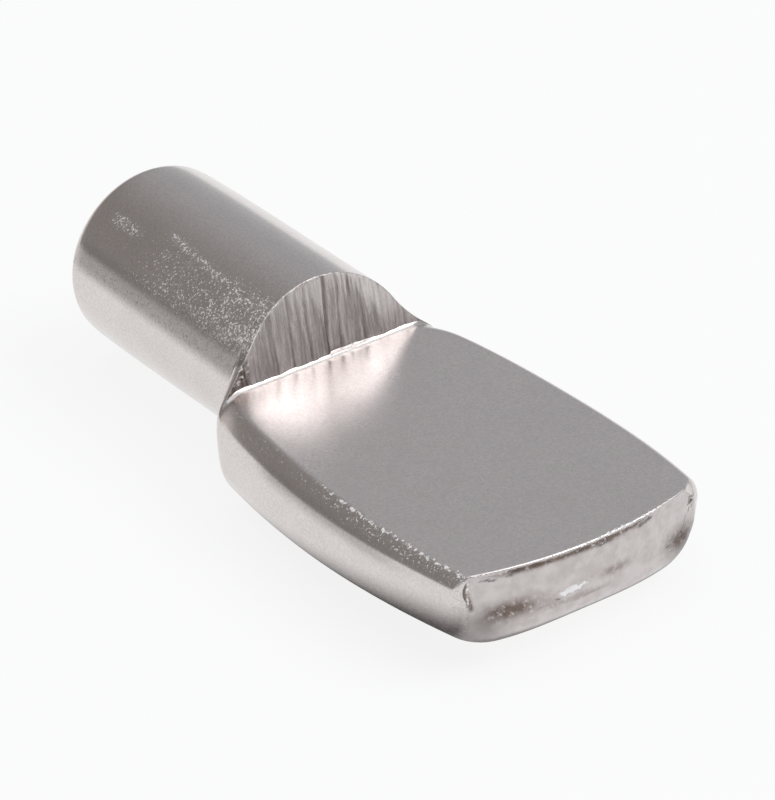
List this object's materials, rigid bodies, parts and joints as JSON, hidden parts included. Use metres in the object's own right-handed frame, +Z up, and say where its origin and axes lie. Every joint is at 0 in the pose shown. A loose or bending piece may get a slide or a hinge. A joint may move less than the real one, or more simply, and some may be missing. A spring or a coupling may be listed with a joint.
{
  "type": "shelf support pin",
  "caption": "Steel shelf support pin: a round pin for a bored hole in a cabinet side, pressed at the front into a flat paddle that the shelf rests on.",
  "frame": {"origin": "on the pin's axis where its full round wall ends, level with the face of the cabinet side when the pin is pushed home", "axes": "-X along the pin towards its free end, +X along the paddle towards its tip, +Z up from the resting face, Y across the paddle"},
  "size_m": [0.0196, 0.008, 0.005],
  "materials": {
    "nickel_plate": "worn nickel plate over pressed steel, satin with bright burrs on the sheared edges"
  },
  "bodies": {
    "root": {"support_pin": "nickel_plate"}
  },
  "joints": []
}
